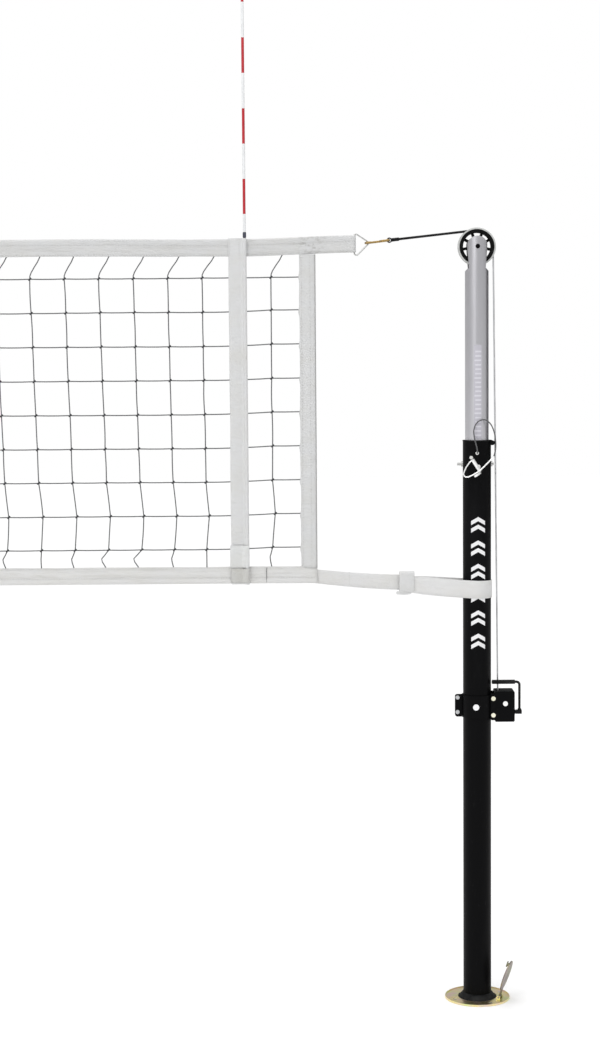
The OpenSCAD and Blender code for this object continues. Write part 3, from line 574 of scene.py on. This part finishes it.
def sewn(seams, name):
    """Builds a shape of stitches as a piece that goes with the net."""
    row = seams.build(name, [THREAD])
    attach(row, "net")


# ---- net ----
COLUMNS = 92
NET_HALF = 4.58
PITCH = 2 * NET_HALF / COLUMNS
LAST_ROW = 8
TOP_ROW_Z = 2.129
ROW_PITCH = 0.0985
ROWS = [TOP_ROW_Z - ROW_PITCH * k for k in range(LAST_ROW + 1)]
ROW_END = 4.688
TWINE_R = 0.0018
KNOT_R = 0.0034
KNOT_TWINE_R = 0.0023
KNOT_TURN = 7.2
UNDER_MARKERS = (1, 91)
# how far some columns lean at the top band and kink above the bottom band, in metres
TOP_LEAN = {92: 0.032, 90: 0.036, 89: 0.034, 88: 0.031, 87: 0.030}
LOW_KINK = {92: 0.008, 90: 0.0, 89: 0.009, 88: 0.025, 87: 0.022}


def knot(column, row):
    """Place of the knot where a column and a row cross."""
    x = -NET_HALF + column * PITCH
    inside = NET_HALF - abs(x)
    drift = 0.018 * math.tanh(max(0.0, inside - 0.08) / 0.4) * math.cos(0.9 * (x - 4.2))
    shift = drift * (row / 6) ** 1.1 + (0.0075 if row == LAST_ROW - 1 else 0)
    if row == LAST_ROW:
        shift -= 0.002
    rise = 0.007 * smoothstep(4.40, 4.66, abs(x)) if row else 0
    return np.array([
        x + shift + 0.0012 * wobble(x, 0, row, 3.1, 7),
        0.0009 * wobble(x, 1, row, 4.3, 3),
        ROWS[row] + rise + 0.0011 * wobble(x, 2, row, 2.7, 5),
    ])


def sag(a, b, bulge, steps):
    """Points from a to just before b, bulging sideways by the vector given."""
    return [a + (b - a) * t + bulge * math.sin(math.pi * t) for t in np.arange(steps) / steps]


twine = Shape()
for i in range(COLUMNS + 1):
    lean = TOP_LEAN.get(i, 0.03 + 0.007 * wobble(i, 0, 0, 1.3, 2))
    kink = LOW_KINK.get(i, 0.013 + 0.02 * wobble(i, 3, 0, 1.7, 4))
    top, low = knot(i, 0), knot(i, LAST_ROW)
    rise, drop = MESH_TOP - top[2], low[2] - MESH_LOW
    path = [
        top + np.array([lean * f, 0, rise * t])
        for t, f in ((1.12, 1.1), (0.8, 0.78), (0.55, 0.44), (0.3, 0.14), (0.14, 0.02))
    ]
    for k in range(LAST_ROW):
        bulge = np.array([0.0022 * wobble(i, k, 4, 1.9, 6), 0.0012 * wobble(i, k, 5, 1.9, 8), 0])
        path += sag(knot(i, k), knot(i, k + 1), bulge, 5)
    path += [
        low + np.array([-kink * f, 0, -drop * t])
        for t, f in ((0, 0), (0.25, 0.45), (0.5, 0.95), (0.68, 0.85), (1.14, 0.2))
    ]
    twine.tube(path, TWINE_R, 5)
for k in range(LAST_ROW + 1):
    ends = [np.array([e * ROW_END, 0, knot(c, k)[2] + 0.001]) for e, c in ((-1, 0), (1, COLUMNS))]
    stops = [ends[0]] + [knot(i, k) for i in range(COLUMNS + 1)] + [ends[1]]
    path = []
    for a, b in zip(stops, stops[1:]):
        path += sag(a, b, np.array([0, 0.0006, -0.0008]), 3)
    twine.tube(path + [stops[-1]], TWINE_R, 5)
for i in range(COLUMNS + 1):
    for k in range(LAST_ROW + 1):
        c = knot(i, k)
        pressed = 0.4 if i in UNDER_MARKERS else 1.1
        turn = [
            c + KNOT_R * np.array([math.cos(a) * 0.8, pressed * math.sin(a), math.cos(a) * 0.8])
            + np.array([1, 0, -1]) * 0.0007 * (a - KNOT_TURN / 2) / (KNOT_TURN / 2)
            for a in np.linspace(0, KNOT_TURN, 10)
        ]
        twine.tube(turn, KNOT_TWINE_R, 5, slot=1)
net = twine.build("net_twine", [TWINE, SHADED_KNOTS])
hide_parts("net_mesh")
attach(net, "net")


CORD_R = 0.005
BEAD = 0.0055
VINYL_THICK = 0.0007
BAND_STEP = 0.0105
BAND_JOINT_X = 4.560


def band_rise(x):
    """The top band climbs a little from the side markers to its ends and inwards from them."""
    x = abs(x)
    return 0.0085 * smoothstep(4.50, BAND_END, x) + 0.003 * (1 - smoothstep(4.05, 4.35, x))


def band(name, half, bead, edge, paint, rise):
    """Folded band: from the back's edge over the cable to the front's edge, with seams."""
    up = 1 if bead > edge else -1
    profile = [(1.5, 0), (1.7, 0.08), (2.4, 0.25), (3.1, 0.45), (3.6, 0.62), (3.5, 0.74),
               (4.6, 0.84), (5.0, 0.94)]
    profile = [(y / 1000, t) for y, t in profile]
    height = abs(bead - edge)
    count = int(2 * half / BAND_STEP)
    rows = []
    for x in np.linspace(-half, half, count):
        ring = []
        for face in (1, -1):
            part = []
            for y, t in profile:
                loose = math.sin(math.pi * min(1, t * 1.15))
                folds = math.exp(-((abs(x) - CRUMPLE_X) / 0.05) ** 2)
                crease = 0.0011 * wobble(x, face, t * 0.25, 16, 1)
                crease += 0.0006 * wobble(x, face, t, 55, 2)
                crease += 0.0022 * folds * wobble(x, face, t * 0.9, 60, 5)
                crease += 0.0009 * wobble(x * 0.12, face, t * 5, 4, 6)
                wave = 0.0011 * wobble(x, 0, 0, 7, 3) * (1 - t)
                part.append((
                    x, face * (y + loose * crease), edge + up * height * t + up * wave + rise(x)
                ))
            ring += part if face == 1 else part[::-1]
            if face == 1:
                ring += [
                    (x, CORD_R * math.cos(a), bead + up * CORD_R * math.sin(a) + rise(x))
                    for a in np.radians([25, 60, 90, 120, 155])
                ]
        rows.append(ring)
    fold = Shape()
    fold.grid(rows)
    made = thicken(fold.build(name, [paint]), VINYL_THICK)
    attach(made, "net")
    seams = Shape()
    for t, y in ((0.09, 0.0024), (0.72, 0.0042)):
        for face in (-1, 1):
            path = [
                (x, face * (y + 0.0006), edge + up * height * t + rise(x))
                for x in np.linspace(-half + 0.004, half - 0.004, 190)
            ]
            seams.stitches(path, (0, face, 0), pitch=0.008)
    sewn(seams, f"{name}_seams")
    return made


def joint_line(name, x, z0, z1, y):
    """A dark stitched joint across a band or strap, on both faces and both halves."""
    line = Shape()
    for s in (1, -1):
        for face in (-1, 1):
            line.tube([(s * x, face * y, z0 + t * (z1 - z0)) for t in (0, 0.3, 0.7, 1)], 0.0008, 6)
    made = line.build(name, [GREY_BRAID])
    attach(made, "net")


joint_line("bottom_band_joints", BAND_JOINT_X, NET_LOW + 0.004, MESH_LOW - 0.003, 0.0048)
upper = band("top_band_cloth", BAND_END, NET_TOP - BEAD, MESH_TOP, VINYL, band_rise)
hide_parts("top_band")
lower = band("bottom_band_cloth", NET_END, NET_LOW + BEAD, MESH_LOW, VINYL_LOW, lambda x: 0.0)
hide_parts("bottom_band")

# ---- side tapes round their dowels ----
DOWEL_X = NET_END - 0.0065
FOLD_R = 0.0061
for side, s in SIDES:
    rows = []
    for z in np.linspace(MESH_LOW - 0.004, MESH_TOP + 0.004, 110):
        pull = sum(math.exp(-((z - r) / 0.010) ** 2) for r in ROWS)
        ring = []
        for face in (1, -1):
            part = []
            for t, y in ((0, 1.4), (0.1, 1.7), (0.35, 2.6), (0.6, 3.8), (0.82, 5.4)):
                x = NET_END - 0.047 + t * 0.0405 - 0.0032 * pull * (1 - t)
                x += 0.0016 * wobble(z, side == "left", 0, 9, 1) * (1 - t)
                pucker = 0.0008 * wobble(z, face, t, 34, 5) + 0.0006 * pull * (t < 0.5)
                part.append((s * x, face * (y / 1000 + pucker), z))
            ring += part if face == 1 else part[::-1]
            if face == 1:
                ring += [
                    (s * (DOWEL_X + FOLD_R * math.cos(a)), FOLD_R * math.sin(a), z)
                    for a in np.radians([60, 30, 0, -30, -60])
                ]
        rows.append(ring)
    fold = Shape()
    fold.grid(rows)
    tape = thicken(fold.build(f"{side}_side_tape", [VINYL_SIDE]), VINYL_THICK)
    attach(tape, "net")
    if side == "right":
        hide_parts("side_tapes")
    seams = Shape()
    for x in (NET_END - 0.041, NET_END - 0.0165):
        for face in (-1, 1):
            y = 0.0030 if x < NET_END - 0.03 else 0.0056
            heights = np.linspace(MESH_LOW + 0.004, MESH_TOP - 0.002, 20)
            seams.stitches([(s * x, face * y, z) for z in heights], (0, face, 0), pitch=0.008)
    sewn(seams, f"{side}_side_seams")

# ---- marker tapes with their antenna pockets ----
MARK_L, MARK_R = ANTENNA_X - 0.047, ANTENNA_X + 0.003
POCKET_R = 0.0051
POCKET_Y = -0.0114
for side, s in SIDES:
    rows = []
    for z in np.linspace(NET_LOW - 0.0012, NET_TOP + 0.0012, 150):
        full = max(
            smoothstep(MESH_TOP - 0.05, MESH_TOP + 0.01, z),
            1 - smoothstep(MESH_LOW - 0.01, MESH_LOW + 0.05, z),
        )
        y0 = 0.0052 + 0.0014 * full
        side_shift = 0.0012 * wobble(z, 0, 0, 5, s)
        ring = []
        for t in np.linspace(0, 1, 9):
            x = MARK_L + t * (MARK_R - 0.0190 - MARK_L)
            y = -y0 - 0.0007 * wobble(x, 0, z, 22, s)
            ring.append((s * (x + side_shift), y, z))
        for dx, dy in ((-0.0115, 0.0), (-0.0085, 0.0016), (-0.0066, 0.0038)):
            ring.append((s * (ANTENNA_X + dx), -y0 - dy, z))
        for a in np.radians([195, 220, 245, 270, 300, 330, 0]):
            ring.append((
                s * (ANTENNA_X + POCKET_R * math.cos(a)), POCKET_Y + POCKET_R * math.sin(a), z
            ))
        ring.append((s * (MARK_R + side_shift * 0.4), -y0 * 0.3, z))
        for t in np.linspace(1, 0, 9):
            x = MARK_L + t * (MARK_R - MARK_L)
            y = y0 + 0.0007 * wobble(x, 3, z, 22, s)
            ring.append((s * (x + side_shift), y, z))
        rows.append(ring)
    wrap = Shape()
    wrap.grid(rows, around=True)
    tape = thicken(wrap.build(f"{side}_marker_tape", [TAPE]), 0.0009)
    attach(tape, "net")
    if side == "right":
        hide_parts("marker_tapes")
    patch = Shape()
    for slot, (z0, z1, left, right, lift) in enumerate((
        (MESH_LOW - 0.002, MESH_LOW + 0.063, -0.0035, 0.003, 0.0013),
        (NET_LOW + 0.004, MESH_LOW - 0.005, -0.002, 0.002, 0.0012),
    )):
        rows = []
        for z in np.linspace(z0, z1, 14):
            edge = 0.0006 * wobble(z, 1, 0, 60, s)
            rows.append([
                (s * (MARK_L + left + edge + t * (MARK_R - MARK_L + right - left)),
                 -0.0070 - lift - 0.0095 * smoothstep(0.60, 0.88, t), z)
                for t in np.linspace(0, 1, 15)
            ])
        patch.grid(rows, slot)
    pad = thicken(patch.build(f"{side}_marker_patch", [LOOPS, HOOKS]), 0.0012)
    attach(pad, "net")
    seams = Shape()
    for x, y in ((MARK_L + 0.004, 0.0074), (MARK_R - 0.0195, 0.0074)):
        path = [(s * x, -y, z) for z in np.arange(MESH_TOP, NET_TOP - 0.002, 0.006)]
        seams.stitches(path, (0, -1, 0))
    sewn(seams, f"{side}_marker_seams")

# ---- bottom straps and their keepers ----
STRAP_START = 1.2595
STRAP_DROP = 0.0195
STRAP_SEAMS = (NET_END - 0.012, NET_END + 0.004, 4.802)
STRAP_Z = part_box("strap_keepers")[0].z + 0.0224
LOOP_R = POST_R + 0.0019


def strap_height(x):
    """Middle of the flat strap between the net's end and its keeper."""
    return STRAP_START - STRAP_DROP * (x - NET_END) / (KEEPER_X - NET_END)


for side, s in SIDES:
    strap = Shape()
    path = []
    for x in np.linspace(NET_END - 0.018, KEEPER_X + 0.012, 30):
        dip = 0.003 * math.sin(math.pi * (x - NET_END) / (KEEPER_X - NET_END))
        path.append((s * x, -0.0006 * wobble(x, 0, 0, 20, s), strap_height(x) - dip))
    strap.ribbon(path, (0, 0, 1), np.linspace(0.041, 0.046, 30), 0.0026)
    spread = math.asin((LOOP_R - 0.002) / (POST_X - KEEPER_X))
    start = math.pi / 2 + spread
    first, last = KEEPER_X - 0.012, POST_X - LOOP_R * math.sin(spread)
    loop = []
    for x in np.linspace(first, last, 12)[:-1]:
        t = (x - first) / (last - first)
        loop.append((x, 0.0024 + t * (LOOP_R * math.cos(spread) - 0.0024)))
    around = [
        (POST_X + LOOP_R * math.cos(a), LOOP_R * math.sin(a))
        for a in np.linspace(start, -start, 44)
    ]
    flat = loop + around + [(x, -y) for x, y in reversed(loop)]
    leaned = []
    for x, y in flat:
        z = STRAP_Z + 0.012 * smoothstep(POST_X, KEEPER_X, x) + 0.0012 * wobble(x, y, 0, 12, s)
        leaned.append((s * x, y, z))
    widths = [0.046 + 0.006 * smoothstep(KEEPER_X + 0.01, KEEPER_X + 0.05, x) for x, _ in flat]
    strap.ribbon(leaned, (0, 0, 1), widths, 0.0024)
    made = strap.build(f"{side}_bottom_strap", [WEBBING])
    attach(made, "net")
    if side == "right":
        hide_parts("bottom_straps")
    seams = Shape()
    for x in STRAP_SEAMS:
        for face in (-1, 1):
            heights = strap_height(x) + np.linspace(-0.019, 0.019, 5)
            seams.stitches([(s * x, face * 0.0016, z) for z in heights], (0, face, 0), pitch=0.005)
    sewn(seams, f"{side}_strap_seams")
    keeper = Shape()
    # half the loop's depth, half its height and its corner radius
    hy, hz, r = 0.0115, 0.0300, 0.0085
    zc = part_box("strap_keepers")[1].z - 0.0270
    path = []
    for cy, cz, a0 in (
        (hy - r, hz - r, 0), (-hy + r, hz - r, 90), (-hy + r, -hz + r, 180), (hy - r, -hz + r, 270),
    ):
        for a in np.radians(np.linspace(a0, a0 + 90, 6)):
            path.append((s * KEEPER_X, cy + r * math.cos(a), zc + cz + r * math.sin(a)))
    keeper.ribbon(path, (1, 0, 0), 0.0445, 0.0028, loop=True)
    flap = [(s * (KEEPER_X - 0.010), -0.0060, zc - hz + k) for k in (0.004, -0.002, -0.008)]
    keeper.ribbon(flap, (1, 0, 0), 0.045, 0.0020)
    made = keeper.build(f"{side}_strap_keeper", [TAPE])
    bulge = made.modifiers.new("round", "SUBSURF")
    bulge.levels = bulge.render_levels = 1
    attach(made, "net")
    if side == "right":
        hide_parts("strap_keepers")

# ---- wire rope down the posts and on the drum ----
ROPE_R = 0.0025
STRAND_R = 0.00085
STRAND_OFFSET = 0.00162
LAY = 0.034
WINDING_R = 0.0190
WINDING_PITCH = 0.0052

for side, s in SIDES:
    low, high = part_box(f"{side}_cable_run")
    top_x = min(abs(low.x), abs(high.x)) + ROPE_R
    low_x = max(abs(low.x), abs(high.x)) - ROPE_R
    z0, z1 = low.z + 0.0004, high.z - 0.0004
    rope = Shape()
    for strand in range(6):
        path = []
        for z in np.arange(z0, z1, 0.0022):
            t = (z - z0) / (z1 - z0)
            a = 2 * math.pi * (z / LAY + strand / 6)
            x = low_x + t * (top_x - low_x) + STRAND_OFFSET * math.cos(a)
            path.append((s * x, STRAND_OFFSET * math.sin(a), z))
        rope.tube(path, STRAND_R, 5)
    core = [
        (s * (low_x + t * (top_x - low_x)), 0, z0 + t * (z1 - z0)) for t in np.linspace(0, 1, 12)
    ]
    rope.tube(core, 0.0010, 6)
    made = rope.build(f"{side}_wire_rope", [WIRE])
    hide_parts(f"{side}_cable_run")
    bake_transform(made)
coil = Shape()
turns = [
    (DRUM[0] + WINDING_R * math.cos(a), WINDING_PITCH * (math.pi - a) / (2 * math.pi),
     DRUM[2] + WINDING_R * math.sin(a))
    for a in np.linspace(-7.4 * math.pi, math.pi, 120)
]
coil.tube(turns, 0.0024, 7)
wound = coil.build("drum_winding", [WIRE])
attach(wound, "drum")


# ---- printed scales on the uprights and a plain graphic on the right post ----
def wrap_quad(shape, radius, u0, u1, z0, z1, slot, slant=0.0, s=1):
    """A thin printed patch on the front of a post; u runs round the tube."""
    cols = np.linspace(0, 1, 9)
    rows = []
    for v in (0, 1):
        row = []
        for t in cols:
            u = u0 + t * (u1 - u0)
            a = u / radius
            row.append((s * POST_X + radius * math.sin(a), -radius * math.cos(a),
                        z0 + v * (z1 - z0) + slant * abs(2 * t - 1)))
        rows.append(row)
    shape.grid(rows, slot)


STRIP_LOW, STRIP_HIGH, STRIP_HALF = 1.470, 1.930, 0.0115
BAR_START, BAR_PITCH, BAR_HEIGHT = 1.4765, 0.0127, 0.0048
LONG_BAR, SHORT_BAR = 0.0098, 0.0075
CHEVRON_START, CHEVRON_PITCH, CHEVRON_HALF = 1.445, 0.068, 0.021
for side, s in SIDES:
    scale = Shape()
    wrap_quad(
        scale, UPRIGHT_R + 0.00006, -STRIP_HALF, STRIP_HALF, STRIP_LOW, STRIP_HIGH, 0, s=s
    )
    for k in range(35):
        z = BAR_START + BAR_PITCH * k
        wide = LONG_BAR if k % 4 == 0 else SHORT_BAR
        wrap_quad(scale, UPRIGHT_R + 0.00010, -wide, LONG_BAR, z, z + BAR_HEIGHT, 1, s=s)
    strip = scale.build(f"{side}_height_scale", [SCALE_BASE, SCALE_MARK])
    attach(strip, f"{side}_slide")
graphic = Shape()
for k in range(6):
    for lift in (0, 0.022):
        z = CHEVRON_START - CHEVRON_PITCH * k - 0.046 + lift
        wrap_quad(
            graphic, POST_R + 0.00012, -CHEVRON_HALF, CHEVRON_HALF, z, z + 0.012, 0, slant=-0.012
        )
badge = graphic.build("post_graphic", [GRAPHIC])
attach(badge, "ground")

# ---- floor just under z = 0, with a hole for each sleeve ----
floor = Shape()
LEVEL = -0.0004
REACH = 30
HOLE_R = 0.0568
TILE = 0.3
cuts_x = [-REACH, -POST_X - TILE, -POST_X + TILE, POST_X - TILE, POST_X + TILE, REACH]
cuts_y = [-REACH, -TILE, TILE, REACH]
for i in range(5):
    for j in range(3):
        x0, x1, y0, y1 = cuts_x[i], cuts_x[i + 1], cuts_y[j], cuts_y[j + 1]
        if j == 1 and i in (1, 3):
            cx = (x0 + x1) / 2
            angles = np.radians(np.arange(0, 360, 5))
            inner = [(cx + HOLE_R * math.cos(a), HOLE_R * math.sin(a), LEVEL) for a in angles]
            outer = []
            for a in angles:
                k = TILE / max(abs(math.cos(a)), abs(math.sin(a)))
                outer.append((cx + k * math.cos(a), k * math.sin(a), LEVEL))
            floor.grid([inner, outer], around=True)
        else:
            corners = [(x0, y0, LEVEL), (x1, y0, LEVEL), (x1, y1, LEVEL), (x0, y1, LEVEL)]
            floor.add(corners, [(0, 1, 2, 3)])
pale = Paint("pale_floor", (0.86, 0.86, 0.86), 0.6)
pale.set("Specular IOR Level", 0.1)
pale.bump((pale.noise(3, 3), 0.0005))
ground = floor.build("studio_floor", [pale.material], smooth=False)

# ---- light: the world is white to the camera and half as bright to everything else ----
world = bpy.data.worlds.new("studio")
world.use_nodes = True
bpy.context.scene.world = world
tree = world.node_tree
back = tree.nodes["Background"]
back.inputs["Color"].default_value = (1, 1, 1, 1)
back.inputs["Strength"].default_value = 0.5
bright = tree.nodes.new("ShaderNodeBackground")
bright.inputs["Color"].default_value = (1, 1, 1, 1)
bright.inputs["Strength"].default_value = 1.0
seen = tree.nodes.new("ShaderNodeLightPath")
pick = tree.nodes.new("ShaderNodeMixShader")
tree.links.new(seen.outputs["Is Camera Ray"], pick.inputs[0])
tree.links.new(back.outputs[0], pick.inputs[1])
tree.links.new(bright.outputs[0], pick.inputs[2])
tree.links.new(pick.outputs[0], tree.nodes["World Output"].inputs["Surface"])


def area(name, place, aim, size, power):
    lamp = bpy.data.lights.new(name, "AREA")
    lamp.shape, lamp.size, lamp.energy = "SQUARE", size, power
    made = bpy.data.objects.new(name, lamp)
    made.location = place
    made.rotation_euler = (Vector(aim) - Vector(place)).to_track_quat("-Z", "Y").to_euler()
    bpy.context.scene.collection.objects.link(made)


area("key", (1.5, -6.5, 5.5), (4.9, 0, 1.4), 4.0, 150)
overhead = bpy.data.lights.new("overhead", "SUN")
overhead.energy, overhead.angle = 2.4, math.radians(80)
lamp = bpy.data.objects.new("overhead", overhead)
bpy.context.scene.collection.objects.link(lamp)
# a dark card that only reflections show, behind and beside the right post
card = Shape()
near, far, z0, z1 = (6.65, 0.26), (4.70, 2.25), 1.25, 4
card.add([(*near, z0), (*far, z0), (*far, z1), (*near, z1)], [(0, 1, 2, 3)])
dark = Paint("dark_card", (0.01, 0.01, 0.01), 0.9)
flag = card.build("reflected_card", [dark.material], smooth=False)
flag.visible_camera = flag.visible_diffuse = flag.visible_shadow = False
bpy.context.scene.view_settings.view_transform = "Standard"
